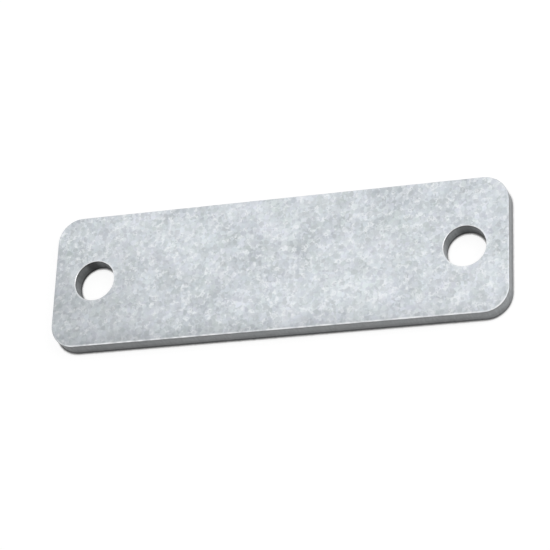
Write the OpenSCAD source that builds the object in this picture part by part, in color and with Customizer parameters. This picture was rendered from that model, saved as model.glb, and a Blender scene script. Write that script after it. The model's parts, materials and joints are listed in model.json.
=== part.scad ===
// Flat mounting plate: one piece of flat steel bar with rounded corners, softened edges
// and a through-hole near each end, galvanised all over.
// Millimetres. The origin is the centre of the underside, +X runs along the length,
// +Y across the width and +Z up out of the top face.

/* [Plate] */
// Length of the plate, end to end
plate_length = 100; // [60:1:300]
// Width of the plate, side to side
plate_width = 30; // [20:1:120]
// Thickness of the plate
plate_thickness = 4; // [2:0.5:12]
// Radius of the four corners, seen from above
corner_radius = 5.4; // [1:0.1:9]

/* [Holes] */
// Diameter of each through-hole
hole_diameter = 9; // [4:0.5:13]
// Distance from each end of the plate to the centre of its hole
hole_inset = 9.2; // [8.5:0.1:20]

/* [Edges] */
// Radius of the softened edge round the outline, on both faces
edge_radius = 0.2; // [0.1:0.05:0.8]
// Radius of the softened rim of each hole, on both faces
rim_radius = 0.2; // [0.1:0.05:0.6]

/* [Hidden] */
// Segments in a full turn, where a curve is drawn as a mesh
$fn = 96;
// Half the stretch between the centres of two corners, along the length and across the width
run_x = plate_length / 2 - corner_radius;
run_y = plate_width / 2 - corner_radius;
// Distance from the plate's centre to the centre of each hole
hole_x = plate_length / 2 - hole_inset;
hole_radius = hole_diameter / 2;
// How far the hole's cutting shape stands out of each face
overcut = 1;
galvanised = [0.80, 0.82, 0.84];

// Section through the edge: flat from the centre line out to reach, with both outer
// corners rounded. X is outwards and Y is up through the thickness.
module edge_section(reach) {
    square([reach - edge_radius, plate_thickness]);
    translate([0, edge_radius])
        square([reach, plate_thickness - 2 * edge_radius]);
    for (height = [edge_radius, plate_thickness - edge_radius])
        translate([reach - edge_radius, height])
            circle(edge_radius);
}

// The edge section run straight for a length along Y, facing +X
module straight_edge(length, reach) {
    translate([0, length / 2, 0])
        rotate([90, 0, 0])
            linear_extrude(length)
                edge_section(reach);
}

// The edge section turned a quarter of the way round one corner
module corner_edge() {
    rotate_extrude(angle = 90)
        edge_section(corner_radius);
}

// The solid bar before the holes are made, built from its edges inwards
module bar() {
    for (end = [0, 180])
        rotate(end) {
            translate([run_x, 0, 0])
                straight_edge(2 * run_y, corner_radius);
            rotate(90)
                straight_edge(2 * run_x, plate_width / 2);
        }
    for (turn = [0, 1, 2, 3])
        translate([run_x * (turn == 0 || turn == 3 ? 1 : -1), run_y * (turn < 2 ? 1 : -1), 0])
            rotate(90 * turn)
                corner_edge();
}

// The shape that one hole takes out: a straight bore that opens with a rounded rim at
// each face
module hole_cut() {
    rim_reach = hole_radius + rim_radius;
    rotate_extrude()
        difference() {
            translate([0, -overcut])
                square([rim_reach, plate_thickness + 2 * overcut]);
            translate([hole_radius, rim_radius])
                square([rim_radius + overcut, plate_thickness - 2 * rim_radius]);
            for (height = [rim_radius, plate_thickness - rim_radius])
                translate([rim_reach, height])
                    circle(rim_radius);
        }
}

module plate() {
    color(galvanised)
        difference() {
            bar();
            for (side = [-1, 1])
                translate([side * hole_x, 0, 0])
                    hole_cut();
        }
}

plate();
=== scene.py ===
# Galvanised steel mounting plate lying on a plain white floor
import json
import math
import bpy
from mathutils import Matrix, Vector, noise
from mathutils.geometry import delaunay_2d_cdt


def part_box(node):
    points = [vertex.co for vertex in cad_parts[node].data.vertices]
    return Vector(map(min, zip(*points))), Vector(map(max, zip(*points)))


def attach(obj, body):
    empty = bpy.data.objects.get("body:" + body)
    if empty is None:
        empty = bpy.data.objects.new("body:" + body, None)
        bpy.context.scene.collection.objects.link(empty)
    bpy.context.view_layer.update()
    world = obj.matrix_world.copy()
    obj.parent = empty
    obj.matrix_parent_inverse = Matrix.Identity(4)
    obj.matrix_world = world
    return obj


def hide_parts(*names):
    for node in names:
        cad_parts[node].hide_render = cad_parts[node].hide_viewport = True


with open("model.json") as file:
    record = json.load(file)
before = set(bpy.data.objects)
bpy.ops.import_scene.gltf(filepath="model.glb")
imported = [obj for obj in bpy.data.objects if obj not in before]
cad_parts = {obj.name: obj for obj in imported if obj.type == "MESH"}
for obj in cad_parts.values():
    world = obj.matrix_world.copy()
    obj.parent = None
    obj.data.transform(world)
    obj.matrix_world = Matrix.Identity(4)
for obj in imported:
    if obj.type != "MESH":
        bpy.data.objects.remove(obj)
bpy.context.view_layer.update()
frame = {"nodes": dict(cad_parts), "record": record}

mm = 0.001
mounts = {m["name"]: m for m in frame["record"]["mounts"]}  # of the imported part


# How the plate's mesh is laid out, and how its zinc skin wanders. Lengths are in mm
plateShape = {
    "faceStep": 0.6,  # spacing of the points on the two faces
    "rowShare": 0.866,  # spacing of their rows, as a share of that
    "borderGap": 0.55,  # how far they keep from the borders, as a share of it too
    "outlineStep": 0.45,  # spacing of the points along the straight sides
    "cornerPoints": 20,  # steps round each corner
    "borePoints": 112,  # points round each hole
    "roundSteps": 6,  # steps across each rounded edge
    "wallSteps": 7,  # steps down each side wall
    "rimBelow": 0.020,  # share of the way down that a bright rim may reach
    "shoulder": 0.25,  # flat border kept inside each rounded edge
    "holeSlack": 0.02,  # a triangle belongs to a hole this far past the hole's border
    "onSide": 0.001,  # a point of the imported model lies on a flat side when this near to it
    "sameSpot": 1e-5,  # points on a face nearer than this would be one
    "skinLeast": 0.002,  # the skin lies at least this far in
    "skinRelief": 0.012,  # how much deeper its hollows are
    "skinLength": 3.2,  # how far apart the hollows lie
    "edgeWander": 0.30,  # share of an edge's radius that comes and goes along it
    "edgeLength": 1.6,  # how far apart those changes lie
    "wanderGain": 1.6,  # how far the slow changes are stretched before they are cut off
    "seeds": {"skin": 11.0, "topEdge": 5.0, "footEdge": 7.0, "rubAndSheenPatches": 23.0},
}

# Top edges and holes' rims rubbed bright by wear and lightened as a painted highlight, most on the sides
# that face one way
rubAndSheenLook = {
    "outline": {
        "towards": (0.28, -0.96),  # the way that the brightest sides face
        "none": 0.15,  # how squarely a side faces that way where its rubbing and painted highlight begin
        "full": 0.90,  # and where it is full
        "least": 0.08,  # share rubbed and highlighted on the sides that face away
        "most": 0.88,
        "patchy": 0.78,  # how much of the rubbing and painted highlight the duller stretches lose
        "zincSteps": 4,  # steps of the section, from the top, that zinc covers
        "brightestAway": 20,  # tilt in degrees at which the painted highlight is brightest on a side that faces away
        "brightestTowards": 20,  # and on one that faces that way
        "width": 42,  # degrees from there to where the rubbing and painted highlight end
    },
    "rims": {
        "towards": (0.70, -0.71),
        "none": -1.30,
        "full": 0.70,
        "least": 0.05,
        "most": 0.88,
        "patchy": 0.20,
        "zincSteps": 7,
        "brightestAway": 30,
        "brightestTowards": 75,
        "width": 62,
    },
    "patchLength": 1.1,  # mm, from one brighter stretch to the next
    "turnedStart": 0.25,  # where a side turned square to that way lies, from away 0 to towards 1
    "turnedGain": 1.1,  # how fast that changes with the way a side faces
    "fallPower": 4,  # how late the rubbing and painted highlight fall off within its width
    "wallTilt": 400,  # degrees of tilt that the wall's whole height counts for
}

# Painted shade on the zinc: darker in a band along the front and in a thin line at the left end
paintedShadeLook = {
    "front": {
        "towards": (0.15, -0.99),  # the way that the most shaded side faces
        "none": -0.30,  # how squarely a side faces that way where the painted shade begins
        "full": 1.00,  # and where it is full
        "most": 0.30,  # share of the colour that goes at the side
        "reach": 5.4,  # mm from the side to where the painted shade ends
        "rightEnd": 0.40,  # share of the painted shade that the plate's right end keeps
    },
    "leftEnd": {
        "towards": (-1.00, 0.00),
        "none": 0.30,
        "full": 0.90,
        "most": 0.30,
        "reach": 0.4,
        "rightEnd": 1.00,
    },
}
paintedShadePower = 4  # how late along the plate the right end's share sets in

# How strong the painted shade of the dark foot line is outside: full along the front and least on the far
# sides
footShadeLook = {
    "least": 0.08,
    "front": 1.0,
    "rightEnd": 0.48,  # what it comes down to at the front's right end
    "endPower": 8,  # how late along the front that sets in
    "roundCorner": 2.5,  # how far the line is carried round the front corners
}


def limited(value, low=0.0, high=1.0):
    return max(low, min(high, value))


def plateSizes():
    # The plate's own sizes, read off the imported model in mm
    _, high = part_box("plate")
    points = [v.co / mm for v in frame["nodes"]["plate"].data.vertices]
    halfLength, halfWidth, top = high.x / mm, high.y / mm, high.z / mm
    atEnd = [p for p in points if halfLength - p.x < plateShape["onSide"]]
    onTop = [p for p in points if top - p.z < plateShape["onSide"]]
    bores = [mounts[name] for name in ("hole_left", "hole_right")]
    boreRadius = bores[0]["dims"]["r_mm"]
    centres = [Vector(b["pos_m"][:2]) / mm for b in bores]
    return {
        "halfLength": halfLength,
        "halfWidth": halfWidth,
        "top": top,
        "corner": halfWidth - max(abs(p.y) for p in atEnd),
        "edge": top - max(p.z for p in atEnd),
        "boreRadius": boreRadius,
        "rim": min((p.xy - centres[0]).length for p in onTop) - boreRadius,
        "centres": centres,
    }


def wander(point, length, seed):
    # Slow change from place to place, between 0 and 1
    shifted = point / length + Vector((seed, 2 * seed, 3 * seed))
    return 0.5 + 0.5 * limited(plateShape["wanderGain"] * noise.noise(shifted), -1.0, 1.0)


def turnedTo(outwards, look):
    # How squarely a side faces the look's way, and what share of the look that gives it
    facing = outwards.dot(Vector(look["towards"]).normalized())
    return facing, limited((facing - look["none"]) / (look["full"] - look["none"]))


def nearRightEnd(point, sizes, power):
    # 0 at the plate's left end, 1 at its right end, and later in coming for a higher power
    return (0.5 + 0.5 * point.x / sizes["halfLength"]) ** power


def rubAndSheenShare(tilt, place, outwards, outside):
    # How bright the rounded top edge is rubbed and painted with a highlight at one point
    look = rubAndSheenLook["outline" if outside else "rims"]
    facing, side = turnedTo(outwards, look)
    place3 = Vector((place.x, place.y, 0))
    duller = wander(place3, rubAndSheenLook["patchLength"], plateShape["seeds"]["rubAndSheenPatches"])
    share = look["least"] + (look["most"] - look["least"]) * side * (1 - look["patchy"] * duller)
    turned = limited(rubAndSheenLook["turnedStart"] + rubAndSheenLook["turnedGain"] * facing)
    brightest = look["brightestAway"] + (look["brightestTowards"] - look["brightestAway"]) * turned
    off = min(1.0, abs(tilt - brightest) / look["width"])
    return share * (1 - off ** rubAndSheenLook["fallPower"])


def paintedShadeShare(point, sizes):
    # How much painted shade darkens the zinc at one point, for its distance from the plate's outline
    run = Vector((sizes["halfLength"] - sizes["corner"], sizes["halfWidth"] - sizes["corner"]))
    beyond = Vector((abs(point.x) - run.x, abs(point.y) - run.y))
    if min(beyond) > 0:
        outwards, distance = beyond.normalized(), sizes["corner"] - beyond.length
    else:
        outwards = Vector((1, 0)) if beyond.x > beyond.y else Vector((0, 1))
        distance = sizes["corner"] - max(beyond)
    outwards = Vector((math.copysign(outwards.x, point.x), math.copysign(outwards.y, point.y)))
    keeps = 1.0
    for look in paintedShadeLook.values():
        _, side = turnedTo(outwards, look)
        near = max(0.0, 1 - distance / look["reach"])
        end = 1 + (look["rightEnd"] - 1) * nearRightEnd(point, sizes, paintedShadePower)
        keeps *= 1 - look["most"] * side * near * near * end
    return 1 - keeps


def footShadeShare(place, outwards, sizes):
    # How strong the painted shade of the foot line is at one place on the outline
    end = nearRightEnd(place, sizes, footShadeLook["endPower"])
    front = footShadeLook["front"] + (footShadeLook["rightEnd"] - footShadeLook["front"]) * end
    facing = min(1.0, -outwards.y * footShadeLook["roundCorner"])
    return max(footShadeLook["least"], facing * front)


def outlineLoop(sizes):
    # Points round the plate's outline, each with the way out from it
    loop = []
    runX, runY = sizes["halfLength"] - sizes["corner"], sizes["halfWidth"] - sizes["corner"]
    corners = [(runX, runY, 0), (-runX, runY, 90), (-runX, -runY, 180), (runX, -runY, 270)]
    arcSteps = plateShape["cornerPoints"]
    for number, (x, y, start) in enumerate(corners):
        for step in range(arcSteps + 1):
            angle = math.radians(start + 90 * step / arcSteps)
            outwards = Vector((math.cos(angle), math.sin(angle)))
            loop.append((Vector((x, y)) + outwards * sizes["corner"], outwards))
        nextX, nextY, _ = corners[(number + 1) % 4]
        length = math.hypot(nextX - x, nextY - y)
        steps = round(length / plateShape["outlineStep"])
        edge, outwards = loop[-1]
        for step in range(1, steps):
            along = Vector((nextX - x, nextY - y)) * step / steps
            loop.append((edge + along, outwards))
    return loop


def boreLoop(centre, radius):
    # Points round a hole, each with the way out of the metal, which is towards the hole's centre.
    # They run clockwise, so that the metal lies on the left, as along the outline
    loop = []
    for step in range(plateShape["borePoints"]):
        angle = -2 * math.pi * step / plateShape["borePoints"]
        spoke = Vector((math.cos(angle), math.sin(angle)))
        loop.append((centre + spoke * radius, -spoke))
    return loop


def sectionRings():
    # The rings over the top edge, down the wall and under. A rounded edge's ring has its
    # surface's tilt in degrees, and a wall's ring has its share of the way down
    steps = plateShape["roundSteps"]
    rings = [("top", 90 * step / steps) for step in range(steps + 1)]
    rings.append(("wall", plateShape["rimBelow"]))
    rings += [("wall", step / plateShape["wallSteps"]) for step in range(1, plateShape["wallSteps"])]
    rings += [("foot", 90 * (1 - step / steps)) for step in range(steps + 1)]
    return rings


def ringPoint(kind, amount, place, outwards, radius, top):
    # One point of the section and the way out from the surface there
    out3 = Vector((outwards.x, outwards.y, 0))
    place3 = Vector((place.x, place.y, 0))
    up = Vector((0, 0, 1))
    if kind == "wall":
        return place3 + up * (radius + (1 - amount) * (top - 2 * radius)), out3
    tilt = math.radians(amount)
    side = up if kind == "top" else -up
    level = top - radius if kind == "top" else radius
    facing = out3 * math.sin(tilt) + side * math.cos(tilt)
    centre = place3 - out3 * radius + up * level
    return centre + facing * radius, facing


def ringTilt(kind, amount):
    # A ring's tilt in degrees as the rubbing and painted highlight count it, past 90 down the wall
    return {"top": amount, "wall": 90 + rubAndSheenLook["wallTilt"] * amount, "foot": 180}[kind]


def edgeRadii(place, radius):
    # The radii of the section at one place, where those of the two edges come and go
    radii = {"wall": radius}
    place3 = Vector((place.x, place.y, 0))
    for kind, seed in (("top", "topEdge"), ("foot", "footEdge")):
        change = wander(place3, plateShape["edgeLength"], plateShape["seeds"][seed])
        radii[kind] = radius * (1 - plateShape["edgeWander"] * change)
    return radii


def faceLevel(kind, sizes):
    # The height of one flat face, and the way out of the metal there
    if kind == "top":
        return sizes["top"], Vector((0, 0, 1))
    return 0.0, Vector((0, 0, -1))


def addPoint(skin, sizes, point, outwards, rubAndSheen=0.0, inBore=0.0, footShade=0.0):
    # A point of the zinc skin, just inside the exact surface, with what the materials ask for
    hollow = wander(point, plateShape["skinLength"], plateShape["seeds"]["skin"])
    depth = plateShape["skinLeast"] + plateShape["skinRelief"] * hollow
    skin["points"].append(point - outwards * depth)
    skin["rubAndSheen"].append(rubAndSheen)
    skin["inBore"].append(inBore)
    skin["footShade"].append(footShade)
    skin["paintedShade"].append(paintedShadeShare(point, sizes))
    return len(skin["points"]) - 1


def addSides(skin, sizes, loop, radius, outside):
    # The rounded edges and the wall round one loop, then the flat border on each face
    rings = sectionRings()
    inBore = 0.0 if outside else 1.0
    columns = []
    for place, outwards in loop:
        radii = edgeRadii(place, radius)
        # The strength of the foot line's painted shade, full in the bores
        footShade = footShadeShare(place, outwards, sizes) if outside else 1.0
        column = []
        for kind, amount in rings:
            point, facing = ringPoint(kind, amount, place, outwards, radii[kind], sizes["top"])
            # Rubbing with its painted highlight, by tilt and by the way the side faces
            rubAndSheen = rubAndSheenShare(ringTilt(kind, amount), place, outwards, outside)
            column.append(addPoint(skin, sizes, point, facing, rubAndSheen, inBore, footShade))
        columns.append(column)
    zincSteps = rubAndSheenLook["outline" if outside else "rims"]["zincSteps"]
    for i, here in enumerate(columns):
        there = columns[(i + 1) % len(columns)]
        for j in range(len(rings) - 1):
            if j >= zincSteps:
                skin["wallFaces"].append(len(skin["faces"]))
            skin["faces"].append((here[j], here[j + 1], there[j + 1], there[j]))
    return {kind: addBorder(skin, sizes, loop, radius, columns, kind) for kind in ("top", "foot")}


def addBorder(skin, sizes, loop, radius, columns, kind):
    # The flat border on one face, between the rounded edge and the face's fill
    height, up = faceLevel(kind, sizes)
    ring = 0 if kind == "top" else -1
    border = []
    for place, outwards in loop:
        inner = place - outwards * (radius + plateShape["shoulder"])
        border.append(addPoint(skin, sizes, Vector((inner.x, inner.y, height)), up))
    for i, column in enumerate(columns):
        k = (i + 1) % len(columns)
        quad = (border[i], column[ring], columns[k][ring], border[k])
        skin["faces"].append(quad if kind == "top" else quad[::-1])
    return border


def spreadPoints(clear, sizes):
    # Evenly spread points on a face, in rows that are shifted in turn, clear of its borders
    step = plateShape["faceStep"]
    innerX, innerY = sizes["halfLength"] - clear, sizes["halfWidth"] - clear
    cornerX, cornerY = sizes["halfLength"] - sizes["corner"], sizes["halfWidth"] - sizes["corner"]
    rows, columns = int(2 * innerY / (step * plateShape["rowShare"])), int(2 * innerX / step)
    points = []
    for row in range(rows + 1):
        y = -innerY + 2 * innerY * row / rows
        for column in range(columns + 1):
            x = -innerX + 2 * innerX * (column + 0.5 * (row % 2)) / columns
            point = Vector((x, y))
            beyond = Vector((max(abs(x) - cornerX, 0), max(abs(y) - cornerY, 0)))
            pastOutline = abs(x) > innerX or beyond.length > sizes["corner"] - clear
            inHole = any((point - c).length < sizes["boreRadius"] + clear for c in sizes["centres"])
            if not (pastOutline or inHole):
                points.append(point)
    return points


def fillFace(borders, inner, sizes):
    # Triangles over the borders' points and the inner ones, without those inside the holes.
    # Each runs anticlockwise, seen from above
    points = [p for border in borders for p in border] + inner
    edges, first = [], 0
    for border in borders:
        count = len(border)
        edges += [(first + i, first + (i + 1) % count) for i in range(count)]
        first += count
    insideOnly = 1  # the kind of result, with no triangles past the outer border
    made = delaunay_2d_cdt(points, edges, [], insideOnly, plateShape["sameSpot"], True)
    verts, faces, origin = made[0], made[2], [ids[0] for ids in made[3]]
    if len(verts) != len(points):
        raise RuntimeError("the face's points were merged or split")
    holeReach = sizes["boreRadius"] + sizes["rim"] + plateShape["shoulder"] + plateShape["holeSlack"]
    triangles = []
    for face in faces:
        centre = sum((verts[i] for i in face), Vector((0, 0))) / len(face)
        if any((centre - c).length < holeReach for c in sizes["centres"]):
            continue
        a, b, c = (origin[i] for i in face)
        turn = (points[b] - points[a]).cross(points[c] - points[a])
        triangles.append((a, b, c) if turn > 0 else (c, b, a))
    return triangles


def addFaces(skin, sizes, borders):
    # Both flat faces, filled between their borders
    clear = sizes["edge"] + plateShape["shoulder"] + plateShape["borderGap"] * plateShape["faceStep"]
    inner = spreadPoints(clear, sizes)
    flatBorders = [[skin["points"][i].xy for i in border["top"]] for border in borders]
    triangles = fillFace(flatBorders, inner, sizes)
    for kind in ("top", "foot"):
        height, up = faceLevel(kind, sizes)
        ids = [i for border in borders for i in border[kind]]
        ids += [addPoint(skin, sizes, Vector((p.x, p.y, height)), up) for p in inner]
        for triangle in triangles:
            order = triangle if kind == "top" else triangle[::-1]
            skin["faces"].append(tuple(ids[i] for i in order))


def buildPlate():
    sizes = plateSizes()
    pointValues = ("rubAndSheen", "inBore", "footShade", "paintedShade")
    skin = {name: [] for name in ("points", "faces", "wallFaces") + pointValues}
    loops = [(outlineLoop(sizes), sizes["edge"], True)]
    loops += [(boreLoop(c, sizes["boreRadius"]), sizes["rim"], False) for c in sizes["centres"]]
    borders = [addSides(skin, sizes, loop, radius, outside) for loop, radius, outside in loops]
    addFaces(skin, sizes, borders)
    mesh = bpy.data.meshes.new("mountingPlate")
    mesh.from_pydata([p * mm for p in skin["points"]], [], skin["faces"])
    mesh.validate()
    for name in pointValues:
        mesh.attributes.new(name, "FLOAT", "POINT").data.foreach_set("value", skin[name])
    groups = {"place": placeGroup(), "mottle": mottleGroup(), "patinaAndShade": patinaAndShadeGroup()}
    mesh.materials.append(zincMaterial(groups))
    mesh.materials.append(cutMaterial(groups))
    for number in skin["wallFaces"]:
        mesh.polygons[number].material_index = 1
    mesh.polygons.foreach_set("use_smooth", [True] * len(mesh.polygons))
    mesh.update()
    piece = bpy.data.objects.new("mountingPlate", mesh)
    bpy.context.scene.collection.objects.link(piece)
    print("plate built:", len(mesh.vertices), "points,", len(mesh.polygons), "faces, sizes", sizes)
    return piece


def addNode(tree, kind, values=None, **settings):
    # A new node with these settings, whose named sockets are fed or set
    node = tree.nodes.new(kind)
    for name, value in settings.items():
        setattr(node, name, value)
    for name, value in (values or {}).items():
        setSocket(tree, node.inputs[name], value)
    return node


def setSocket(tree, socket, value):
    # Feeds a socket from another node's output, or sets it
    if isinstance(value, bpy.types.NodeSocket):
        tree.links.new(value, socket)
    elif socket.type == "RGBA" and len(value) == 3:
        socket.default_value = (*value, 1)
    else:
        socket.default_value = value


def calc(tree, operation, *values):
    node = addNode(tree, "ShaderNodeMath", operation=operation)
    for socket, value in zip(node.inputs, values):
        setSocket(tree, socket, value)
    return node.outputs[0]


def vectorCalc(tree, operation, *values):
    node = addNode(tree, "ShaderNodeVectorMath", operation=operation)
    sockets = [node.inputs[0], node.inputs["Scale"] if operation == "SCALE" else node.inputs[1]]
    for socket, value in zip(sockets, values):
        setSocket(tree, socket, value)
    return node.outputs["Value" if operation == "LENGTH" else "Vector"]


def opposite(tree, value):
    # 1 minus the value
    return calc(tree, "SUBTRACT", 1.0, value)


def between(tree, share, first, second):
    # The first number where the share is 0, the second where it is 1
    return calc(tree, "MULTIPLY_ADD", share, second - first, first)


def fade(tree, value, low, high):
    # 0 below low, 1 above high, smooth between
    node = addNode(tree, "ShaderNodeMapRange", {"Value": value, "From Min": low, "From Max": high},
                   interpolation_type="SMOOTHSTEP")
    return node.outputs["Result"]


def blend(tree, share, first, second, kind="MIX"):
    # For colours, a mix node's sockets are numbers 0, 6 and 7, and what comes out is number 2
    node = addNode(tree, "ShaderNodeMix", data_type="RGBA", blend_type=kind)
    for socket, value in zip((node.inputs[0], node.inputs[6], node.inputs[7]), (share, first, second)):
        setSocket(tree, socket, value)
    return node.outputs[2]


def dimmed(tree, colour, keeps):
    # The colour times the share of it that stays
    return blend(tree, 1.0, colour, keeps, "MULTIPLY")


def noiseValue(tree, vector, scale, detail=2.0, roughness=0.5, output="Fac"):
    node = addNode(tree, "ShaderNodeTexNoise", {
        "Vector": vector, "Scale": scale, "Detail": detail, "Roughness": roughness})
    return node.outputs[output]


# Noise and chance values lie evenly round this
middle = 0.5
middles = (middle, middle, middle)


def weighted(tree, start, parts):
    # The start and, of each value, what lies beyond the middle, times its weight
    total = start
    for value, weight in parts:
        total = calc(tree, "MULTIPLY_ADD", calc(tree, "SUBTRACT", value, middle), weight, total)
    return total


def split(tree, vector):
    return addNode(tree, "ShaderNodeSeparateXYZ", {"Vector": vector}).outputs


def attribute(tree, name):
    # What the mesh says at each point under that name
    return addNode(tree, "ShaderNodeAttribute", attribute_name=name).outputs["Fac"]


def newGroup(name, inputs, outputs):
    group = bpy.data.node_groups.new(name, "ShaderNodeTree")
    kinds = {"value": "NodeSocketFloat", "vector": "NodeSocketVector"}
    for direction, sockets in (("INPUT", inputs), ("OUTPUT", outputs)):
        for socketName, kind in sockets.items():
            group.interface.new_socket(name=socketName, in_out=direction, socket_type=kinds[kind])
    return group, group.nodes.new("NodeGroupInput").outputs, group.nodes.new("NodeGroupOutput").inputs


def useGroup(tree, group, values):
    node = addNode(tree, "ShaderNodeGroup", node_tree=group)
    for name, value in values.items():
        setSocket(tree, node.inputs[name], value)
    return node.outputs


def placeGroup():
    # Where a point lies on the plate, in mm
    group, _, out = newGroup("placeOnPlate", {}, {"Place": "vector"})
    coordinates = group.nodes.new("ShaderNodeTexCoord").outputs["Object"]
    group.links.new(vectorCalc(group, "SCALE", coordinates, 1 / mm), out["Place"])
    return group


# Thin round flakes of zinc that lie over each other. A noise's scale is how often it changes
# over a flake's size, and for patches, clouds and hues over a patch's size
mottleLook = {
    # How many flakes to a flake's size, and how much each covers what lies under
    "layers": [(0.60, 1.0), (1.9, 0.9), (1.35, 0.9), (0.95, 0.9), (0.80, 0.8)],
    "layerShift": (7.3, 1.9, 4.1),  # each layer lies this far from the one before
    "flakeSolid": 0.44,  # a flake is whole up to here from its centre
    "flakeEnds": 0.52,  # and gone from here on
    "bend": 0.7,  # how far the flakes' rims are bent
    "bendNoise": {"scale": 1.1},
    "patchNoise": {"scale": 1.0, "detail": 1.5},
    "cloudNoise": {"scale": 0.32},
    "grainNoise": {"scale": 3.0, "detail": 3.0, "roughness": 0.6},
    "hueNoise": {"scale": 1.3},
    "streakNoise": {"scale": 0.9},
    "streakFade": (0.50, 0.66),  # of that noise, from no streak to a full one
    # How much each of these counts in the tone and in the two kinds of tint
    "Tone": {"flakes": 0.70, "patches": 0.95, "clouds": 0.72, "grain": 0.45},
    "Tint": {"flakes": 0.68, "tone": 0.0, "hues": 1.00, "patches": 0.25},
    "Cast": {"flakes": 0.68, "tone": 0.17, "hues": 1.00, "patches": 0.50},
    "flakeRelief": 0.5,  # how much the flakes count in the relief, beside the grain
}


def flakeLayer(tree, vector, scale):
    # Round flakes: three chance values for each, a mask of where it lies and one of its rim
    solid, ends = mottleLook["flakeSolid"], mottleLook["flakeEnds"]
    node = addNode(tree, "ShaderNodeTexVoronoi", {"Vector": vector, "Scale": scale})
    mask = opposite(tree, fade(tree, node.outputs["Distance"], solid, ends))
    rim = calc(tree, "MULTIPLY", mask, fade(tree, node.outputs["Distance"], 2 * solid - ends, solid))
    return node.outputs["Color"], mask, rim


def flakeLayers(group, place):
    # All layers of flakes laid over each other: the chance values of the uppermost, and the rims
    chance, rims = middles, 0.0
    for number, (scale, covers) in enumerate(mottleLook["layers"]):
        shift = tuple(number * s for s in mottleLook["layerShift"])
        colour, mask, rim = flakeLayer(group, vectorCalc(group, "ADD", place, shift), scale)
        chance = blend(group, calc(group, "MULTIPLY", mask, covers), chance, colour)
        rims = calc(group, "MAXIMUM", rims, rim)
    return chance, rims


def mottleGroup():
    # The mottled zinc: flakes gathered into patches and clouds, with tints, streaks and relief
    group, given, out = newGroup(
        "zincMottle",
        {"Place": "vector", "Flake Size": "value", "Patch Size": "value"},
        {"Tone": "value", "Tint": "value", "Cast": "value",
         "Streak": "value", "Lean": "vector", "Relief": "value"},
    )
    scaled = vectorCalc(group, "SCALE", given["Place"], calc(group, "DIVIDE", 1.0, given["Flake Size"]))
    patches = vectorCalc(group, "SCALE", given["Place"], calc(group, "DIVIDE", 1.0, given["Patch Size"]))
    bend = noiseValue(group, scaled, output="Color", **mottleLook["bendNoise"])
    bend = vectorCalc(group, "SCALE", vectorCalc(group, "SUBTRACT", bend, middles), mottleLook["bend"])
    chance, rims = flakeLayers(group, vectorCalc(group, "ADD", scaled, bend))
    toneChance, tintChance, castChance = split(group, chance)
    patch = noiseValue(group, patches, **mottleLook["patchNoise"])
    cloud = noiseValue(group, patches, **mottleLook["cloudNoise"])
    grain = noiseValue(group, scaled, **mottleLook["grainNoise"])
    group.links.new(weighted(group, middle, [
        (toneChance, mottleLook["Tone"]["flakes"]),
        (patch, mottleLook["Tone"]["patches"]),
        (cloud, mottleLook["Tone"]["clouds"]),
        (grain, mottleLook["Tone"]["grain"]),
    ]), out["Tone"])
    hues = noiseValue(group, patches, output="Color", **mottleLook["hueNoise"])
    _, tintHue, castHue = split(group, hues)
    for name, ownChance, hue in (("Tint", tintChance, tintHue), ("Cast", castChance, castHue)):
        group.links.new(weighted(group, middle, [
            (ownChance, mottleLook[name]["flakes"]),
            (toneChance, mottleLook[name]["tone"]),
            (hue, mottleLook[name]["hues"]),
            (patch, mottleLook[name]["patches"]),
        ]), out[name])
    some = fade(group, noiseValue(group, scaled, **mottleLook["streakNoise"]), *mottleLook["streakFade"])
    relief = calc(group, "MULTIPLY_ADD", castChance, mottleLook["flakeRelief"], grain)
    group.links.new(calc(group, "MULTIPLY", rims, some), out["Streak"])
    group.links.new(vectorCalc(group, "SUBTRACT", chance, middles), out["Lean"])
    group.links.new(relief, out["Relief"])
    return group


# Dull patina that darkens the left end of the plate, partly painted shade where the light falls off
patinaAndShadeLook = {
    "middle": (-50.0, -7.0, 0.0),  # mm
    "reach": (34.0, 18.5, 30.0),  # mm
    "fades": 1.25,  # gone at this many times the reach
    "power": 1.5,
    "cloudy": 0.7,  # how far its border comes and goes, to the reach
    "cloudNoise": {"scale": 0.09, "detail": 3.0, "roughness": 0.6},  # changes to a mm
    "strength": 0.32,
    "boreStrength": 0.60,
}


def patinaAndShadeGroup():
    # How much dull patina and painted shade lie at a place: most at one end of the plate, and cloudy
    group, given, out = newGroup("endPatinaAndShade", {"Place": "vector"}, {"PatinaAndShade": "value"})
    away = vectorCalc(group, "SUBTRACT", given["Place"], patinaAndShadeLook["middle"])
    away = vectorCalc(group, "LENGTH", vectorCalc(group, "DIVIDE", away, patinaAndShadeLook["reach"]))
    clouds = noiseValue(group, given["Place"], **patinaAndShadeLook["cloudNoise"])
    distance = weighted(group, away, [(clouds, patinaAndShadeLook["cloudy"])])
    near = opposite(group, fade(group, distance, 0.0, patinaAndShadeLook["fades"]))
    group.links.new(calc(group, "POWER", near, patinaAndShadeLook["power"]), out["PatinaAndShade"])
    return group


def newMaterial(name):
    material = bpy.data.materials.new(name)
    material.use_nodes = True
    tree = material.node_tree
    tree.nodes.clear()
    output = addNode(tree, "ShaderNodeOutputMaterial")
    return material, tree, output


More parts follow.
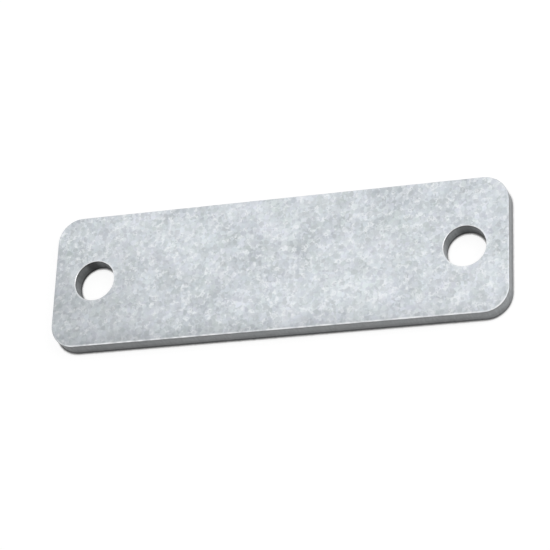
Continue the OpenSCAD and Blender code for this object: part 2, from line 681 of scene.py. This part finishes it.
# Zinc on the two faces and over the rounded edges
zincLook = {
    "dark": (0.460, 0.496, 0.526),
    "light": (0.732, 0.772, 0.808),
    "green": (0.978, 1.005, 0.982),  # tints that some flakes take, from green to lilac
    "lilac": (1.022, 0.995, 1.018),
    "yellow": (1.002, 1.002, 0.975),  # and from yellow to blue
    "blue": (0.998, 0.998, 1.025),
    "streak": (0.872, 0.893, 0.911),
    "streaks": 0.75,  # how much they cover what lies under
    "flakeSize": 1.10,  # mm
    "patchSize": 5.0,  # mm
    "flakeTilt": 0.05,  # how far a flake leans out of the face
    "metallic": 0.45,
    "roughness": (0.44, 0.56),
    "relief": 0.10,
    "reliefDepth": 0.05,  # mm
    "rubAndSheen": (0.96, 0.97, 0.98),  # edges rubbed bright, partly wear and partly a painted highlight
    "rubAndSheenMetallic": 0.40,
    "rubAndSheenRoughness": 0.30,
    "rubAndSheenUpturn": 1.2,  # how far the shading facets of a rubbed edge with its painted highlight turn up
}


def zincMaterial(groups):
    material, tree, output = newMaterial("galvanisedZinc")
    place = useGroup(tree, groups["place"], {})["Place"]
    mottle = useGroup(tree, groups["mottle"], {
        "Place": place, "Flake Size": zincLook["flakeSize"], "Patch Size": zincLook["patchSize"]})
    patinaAndShade = useGroup(tree, groups["patinaAndShade"], {"Place": place})["PatinaAndShade"]
    rubAndSheen = attribute(tree, "rubAndSheen")

    # Mottled tone and tints, streaks, then what the patina with its painted shade and the painted shade
    # along the sides take away
    colour = blend(tree, mottle["Tone"], zincLook["dark"], zincLook["light"])
    for name, first, second in (("Tint", "green", "lilac"), ("Cast", "yellow", "blue")):
        colour = dimmed(tree, colour, blend(tree, mottle[name], zincLook[first], zincLook[second]))
    streaks = calc(tree, "MULTIPLY", mottle["Streak"], zincLook["streaks"])
    colour = blend(tree, streaks, colour, zincLook["streak"])
    colour = dimmed(tree, colour, opposite(tree, calc(tree, "MULTIPLY", patinaAndShade, patinaAndShadeLook["strength"])))
    # Painted shade along the front and at the left end
    colour = dimmed(tree, colour, opposite(tree, attribute(tree, "paintedShade")))
    # Rubbed edges lightened, partly wear and partly a painted highlight
    colour = blend(tree, rubAndSheen, colour, zincLook["rubAndSheen"])

    # The finish, smoother where it is rubbed and painted with a highlight
    rough = between(tree, mottle["Tint"], *zincLook["roughness"])
    change = calc(tree, "SUBTRACT", zincLook["rubAndSheenRoughness"], rough)
    rough = calc(tree, "MULTIPLY_ADD", rubAndSheen, change, rough)
    metallic = between(tree, rubAndSheen, zincLook["metallic"], zincLook["rubAndSheenMetallic"])

    # Flakes lean a little each way, and rubbed facets with the painted highlight turn up
    surface = tree.nodes.new("ShaderNodeNewGeometry").outputs["Normal"]
    lean = vectorCalc(tree, "SCALE", mottle["Lean"], zincLook["flakeTilt"])
    upturn = calc(tree, "MULTIPLY", rubAndSheen, zincLook["rubAndSheenUpturn"])
    upturn = vectorCalc(tree, "SCALE", (0, 0, 1), upturn)
    leaning = vectorCalc(tree, "ADD", vectorCalc(tree, "ADD", surface, lean), upturn)
    bump = addNode(tree, "ShaderNodeBump", {
        "Strength": zincLook["relief"],
        "Distance": zincLook["reliefDepth"] * mm,
        "Height": mottle["Relief"],
        "Normal": vectorCalc(tree, "NORMALIZE", leaning),
    })
    shader = addNode(tree, "ShaderNodeBsdfPrincipled", {
        "Base Color": colour,
        "Metallic": metallic,
        "Roughness": rough,
        "Normal": bump.outputs["Normal"],
    })
    tree.links.new(shader.outputs["BSDF"], output.inputs["Surface"])
    return material


# Side walls and bores, darker than the faces. Heights are in mm above the foot, and a noise's
# scale is its changes to a mm
cutLook = {
    "upper": (0.415, 0.430, 0.440),
    # The lower, rougher fracture zone, darker also as painted shade towards the foot
    "lower": (0.330, 0.342, 0.350),
    "bore": (0.82, 0.82, 0.82),  # painted shade in the bores: what a bore's wall keeps of that
    "break": 1.75,  # where upper turns into lower
    "breakWander": 0.45,  # how far that rises and falls
    "breakSoft": (0.6, 0.6),  # and how far below and above it the change runs
    "lineWander": 0.25,  # how far the lines rise and fall
    "wanderNoise": {"scale": 0.6, "detail": 4.0, "roughness": 0.6},
    "footTop": 0.70,  # where the dark foot line of painted shade begins
    "footSoft": (0.30, 0.20),
    "footKeeps": 0.38,  # share of its colour that the painted shade of the foot line keeps
    "underEdge": 3.45,  # where a fainter line lies under the top edge
    "underKeeps": 0.86,
    "rimEdge": 3.30,  # where a darker line lies under a hole's rim
    "rimKeeps": 0.62,
    "lineSoft": (0.15, 0.10),
    "drawn": 0.16,  # the grain's changes through the thickness, to those along the wall
    "grainNoise": {"scale": 2.2, "detail": 4.0, "roughness": 0.65},
    "grain": 0.7,  # how much the grain changes the tone
    "mottle": 0.12,  # and how much the flakes do
    "flakeSize": 1.6,
    "patchSize": 6.0,
    "metallic": 0.0,
    "roughness": 0.62,
    "specular": 0.2,
    "relief": 0.15,
    "reliefDepth": 0.05,
    # Painted light and shade on the bores' walls, as brighter and darker patches: the angle round the
    # hole in degrees, how far a patch reaches in mm, and what it keeps of the tone
    "paintedLightPatches": [
        {"hole": "hole_left", "angle": 107, "reach": 1.8, "keeps": 0.30},
        {"hole": "hole_left", "angle": 210, "reach": 4.2, "keeps": 1.95},
        {"hole": "hole_right", "angle": 94, "reach": 2.0, "keeps": 0.80},
        {"hole": "hole_right", "angle": 128, "reach": 1.8, "keeps": 1.25},
        {"hole": "hole_right", "angle": 205, "reach": 4.2, "keeps": 1.60},
    ],
    "paintedLightSolid": 0.35,  # share of its reach at which a patch of painted light or shade begins to fade
}
levelOnly = (1, 1, 0)  # times a place, leaves its height out


def paintedLightShare(tree, place, lightPatch):
    # 0 at a patch of painted light or shade, 1 away from it
    hole = mounts[lightPatch["hole"]]
    angle, radius = math.radians(lightPatch["angle"]), hole["dims"]["r_mm"]
    x, y = hole["pos_m"][0] / mm, hole["pos_m"][1] / mm
    onWall = (x + radius * math.cos(angle), y + radius * math.sin(angle), 0)
    away = vectorCalc(tree, "MULTIPLY", vectorCalc(tree, "SUBTRACT", place, onWall), levelOnly)
    away = vectorCalc(tree, "LENGTH", away)
    return fade(tree, away, cutLook["paintedLightSolid"] * lightPatch["reach"], lightPatch["reach"])


def above(tree, height, edge, soft):
    # 0 below an edge and 1 above it, with the change running so far below and above it
    return fade(tree, height, edge - soft[0], edge + soft[1])


def cutMaterial(groups):
    material, tree, output = newMaterial("cutEdge")
    place = useGroup(tree, groups["place"], {})["Place"]
    mottle = useGroup(tree, groups["mottle"], {
        "Place": place, "Flake Size": cutLook["flakeSize"], "Patch Size": cutLook["patchSize"]})
    patinaAndShade = useGroup(tree, groups["patinaAndShade"], {"Place": place})["PatinaAndShade"]
    inBore = attribute(tree, "inBore")
    height = split(tree, place)["Z"]

    # The noise runs half a unit either way of its middle, so a wander counts twice
    wandering = noiseValue(tree, vectorCalc(tree, "MULTIPLY", place, levelOnly), **cutLook["wanderNoise"])
    breakHeight = weighted(tree, height, [(wandering, 2 * cutLook["breakWander"])])
    lineHeight = weighted(tree, height, [(wandering, 2 * cutLook["lineWander"])])

    # Upper and lower tone, the lower one a darker fracture zone that also paints in shade towards the
    # foot, with the drawn grain
    upper = above(tree, breakHeight, cutLook["break"], cutLook["breakSoft"])
    colour = blend(tree, upper, cutLook["lower"], cutLook["upper"])
    drawn = vectorCalc(tree, "MULTIPLY", place, (1.0, 1.0, cutLook["drawn"]))
    grain = noiseValue(tree, drawn, **cutLook["grainNoise"])
    spread = weighted(tree, 1.0, [(grain, cutLook["grain"]), (mottle["Tone"], cutLook["mottle"])])
    colour = dimmed(tree, colour, spread)

    # The dark foot line of painted shade, and the fainter one under the top edge
    foot = opposite(tree, above(tree, lineHeight, cutLook["footTop"], cutLook["footSoft"]))
    footShade = calc(tree, "MULTIPLY", attribute(tree, "footShade"), 1 - cutLook["footKeeps"])
    colour = dimmed(tree, colour, opposite(tree, calc(tree, "MULTIPLY", foot, footShade)))
    under = above(tree, lineHeight, cutLook["underEdge"], cutLook["lineSoft"])
    colour = dimmed(tree, colour, between(tree, under, 1.0, cutLook["underKeeps"]))

    # The bores are darker as painted shade, with a line under the rim, then patina with painted shade,
    # and patches of painted light and shade
    colour = blend(tree, inBore, colour, dimmed(tree, colour, cutLook["bore"]))
    rimLine = above(tree, lineHeight, cutLook["rimEdge"], cutLook["lineSoft"])
    rimLine = calc(tree, "MULTIPLY", inBore, rimLine)
    colour = dimmed(tree, colour, between(tree, rimLine, 1.0, cutLook["rimKeeps"]))
    # The bores take more of the patina and its painted shade
    strength = between(tree, inBore, patinaAndShadeLook["strength"], patinaAndShadeLook["boreStrength"])
    colour = dimmed(tree, colour, opposite(tree, calc(tree, "MULTIPLY", patinaAndShade, strength)))
    # Patches of painted light and shade on the bores' walls
    for lightPatch in cutLook["paintedLightPatches"]:
        away = paintedLightShare(tree, place, lightPatch)
        colour = dimmed(tree, colour, between(tree, away, lightPatch["keeps"], 1))

    bump = addNode(tree, "ShaderNodeBump", {
        "Strength": cutLook["relief"], "Distance": cutLook["reliefDepth"] * mm, "Height": grain})
    shader = addNode(tree, "ShaderNodeBsdfPrincipled", {
        "Base Color": colour,
        "Metallic": cutLook["metallic"],
        "Roughness": cutLook["roughness"],
        "Specular IOR Level": cutLook["specular"],
        "Normal": bump.outputs["Normal"],
    })
    tree.links.new(shader.outputs["BSDF"], output.inputs["Surface"])
    return material


# Floor and surroundings. The floor and the backdrop look white, and light the plate less than that
stageLook = {
    "floorSize": 6.0,  # m
    "floorWhite": 0.90,  # share of the white that no soft shadow takes away
    "floorShadow": 0.18,  # how much a soft shadow shows on top of that
    "floorBounce": 0.80,  # colour of the floor as the plate sees it
    "ambient": 0.24,  # light from all round
    "backdrop": 1.0,  # plain white
}

# The dark line on the floor where the plate touches it
contactLook = {
    "reach": 0.9,  # mm
    "darkest": 0.51,  # share of open sky, within that reach, at which the floor is darkest
    "gone": 0.89,  # and at which it is plain again
    "keeps": 0.09,  # share of its light that the floor keeps where it is darkest
    "towards": (0.34, 0.0, 0.94),  # the sky's brighter side
    "samples": 16,
    "ragged": 0.10,  # how much the line comes and goes
    "raggedLength": 0.8,  # mm
    "raggedDetail": 3.0,
}


def seenDirectly(tree):
    # 1 where the camera, a reflection or a clear material looks, 0 for light that is passed on
    path = addNode(tree, "ShaderNodeLightPath")
    total = path.outputs["Is Camera Ray"]
    for name in ("Is Glossy Ray", "Is Transmission Ray"):
        total = calc(tree, "MAXIMUM", total, path.outputs[name])
    return total


def contactShadow(tree):
    # The share of its light that the floor keeps, least where the plate stands on it
    towards = Vector(contactLook["towards"]).normalized()
    # The sky node takes its normal from a link only, so the bright side is a node's output
    brightSide = addNode(tree, "ShaderNodeCombineXYZ", dict(zip("XYZ", towards))).outputs["Vector"]
    sky = addNode(tree, "ShaderNodeAmbientOcclusion", {
        "Distance": contactLook["reach"] * mm, "Normal": brightSide}, samples=contactLook["samples"])
    coordinates = tree.nodes.new("ShaderNodeTexCoord").outputs["Object"]
    raggedScale = 1 / (contactLook["raggedLength"] * mm)
    ragged = noiseValue(tree, coordinates, raggedScale, contactLook["raggedDetail"])
    level = weighted(tree, sky.outputs["AO"], [(ragged, contactLook["ragged"])])
    away = fade(tree, level, contactLook["darkest"], contactLook["gone"])
    return between(tree, away, contactLook["keeps"], 1)


def floorMaterial():
    # Seen directly, a white floor with the plate's shadow. To the plate, a plain pale one
    material, tree, output = newMaterial("whiteFloor")
    contact = contactShadow(tree)
    shade = blend(tree, contact, (0, 0, 0), [stageLook["floorShadow"]] * 3)
    glow = calc(tree, "MULTIPLY", contact, stageLook["floorWhite"])
    bounce = addNode(tree, "ShaderNodeBsdfDiffuse", {"Color": [stageLook["floorBounce"]] * 3})
    shadow = addNode(tree, "ShaderNodeBsdfDiffuse", {"Color": shade})
    white = addNode(tree, "ShaderNodeEmission", {"Strength": glow})
    shown = addNode(tree, "ShaderNodeAddShader")
    choose = addNode(tree, "ShaderNodeMixShader")
    tree.links.new(shadow.outputs[0], shown.inputs[0])
    tree.links.new(white.outputs[0], shown.inputs[1])
    tree.links.new(seenDirectly(tree), choose.inputs[0])
    tree.links.new(bounce.outputs[0], choose.inputs[1])
    tree.links.new(shown.outputs[0], choose.inputs[2])
    tree.links.new(choose.outputs[0], output.inputs["Surface"])
    return material


def buildFloor():
    half = stageLook["floorSize"] / 2
    corners = [(-half, -half, 0), (half, -half, 0), (half, half, 0), (-half, half, 0)]
    mesh = bpy.data.meshes.new("floor")
    mesh.from_pydata(corners, [], [(0, 1, 2, 3)])
    mesh.materials.append(floorMaterial())
    floor = bpy.data.objects.new("floor", mesh)
    bpy.context.scene.collection.objects.link(floor)
    print("floor ready")


def buildRoom():
    # Soft light from all round, before a backdrop that looks white
    world = bpy.data.worlds.new("whiteRoom")
    bpy.context.scene.world = world
    world.use_nodes = True
    tree = world.node_tree
    tree.nodes.clear()
    output = addNode(tree, "ShaderNodeOutputWorld")
    ambient = addNode(tree, "ShaderNodeBackground", {"Strength": stageLook["ambient"]})
    backdrop = addNode(tree, "ShaderNodeBackground", {"Strength": stageLook["backdrop"]})
    choose = addNode(tree, "ShaderNodeMixShader")
    tree.links.new(seenDirectly(tree), choose.inputs[0])
    tree.links.new(ambient.outputs[0], choose.inputs[1])
    tree.links.new(backdrop.outputs[0], choose.inputs[2])
    tree.links.new(choose.outputs[0], output.inputs["Surface"])
    print("room ready")


def lookAt(place, aim):
    return (Vector(aim) - Vector(place)).to_track_quat("-Z", "Y")


# Soft lamps: place and size in mm, power in watts
lampLook = {
    "overhead": {"place": (-60, 120, 520), "aim": (0, 0, 0), "size": (900, 700), "power": 1.25},
    "rightHand": {"place": (400, 60, 400), "aim": (0, 0, 0), "size": (300, 300), "power": 0.78},
    "rightBack": {"place": (400, 190, 310), "aim": (0, 0, 0), "size": (200, 200), "power": 0.23},
    "leftHand": {"place": (-400, 100, 400), "aim": (0, 0, 0), "size": (300, 300), "power": 0.28},
    "frontLow": {"place": (200, -380, 80), "aim": (0, 0, 0), "size": (250, 100), "power": 0.15},
}


def buildLamps():
    for name, look in lampLook.items():
        data = bpy.data.lights.new(name, "AREA")
        data.shape = "RECTANGLE"
        data.size, data.size_y = [s * mm for s in look["size"]]
        data.energy = look["power"]
        lamp = bpy.data.objects.new(name, data)
        lamp.location = Vector(look["place"]) * mm
        lamp.rotation_mode = "QUATERNION"
        lamp.rotation_quaternion = lookAt(look["place"], look["aim"])
        bpy.context.scene.collection.objects.link(lamp)
    print("lamps ready:", ", ".join(lampLook))


# The photograph's viewpoint: where the camera stands, what it looks at and how far it is rolled
cameraView = {
    "place": (132.9, -172.4, 385.2),  # mm
    "aim": (-0.41, -1.77, 2.0),  # mm
    "roll": 39.53,  # degrees, the top of the picture leans this far to the right
    "lens": 137.30,  # mm
    "sensor": 36.0,  # mm
}


def buildCamera():
    data = bpy.data.cameras.new("camera")
    data.sensor_width = cameraView["sensor"]
    data.lens = cameraView["lens"]
    camera = bpy.data.objects.new("camera", data)
    camera.location = Vector(cameraView["place"]) * mm
    camera.rotation_mode = "QUATERNION"
    level = lookAt(cameraView["place"], cameraView["aim"])
    roll = Matrix.Rotation(-math.radians(cameraView["roll"]), 3, "Z").to_quaternion()
    camera.rotation_quaternion = level @ roll
    bpy.context.scene.collection.objects.link(camera)
    bpy.context.scene.camera = camera
    print("camera ready")


bpy.context.scene.view_settings.view_transform = "Standard"
buildCamera()
buildFloor()
buildRoom()
buildLamps()
plate = buildPlate()
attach(plate, "root")
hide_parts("plate")
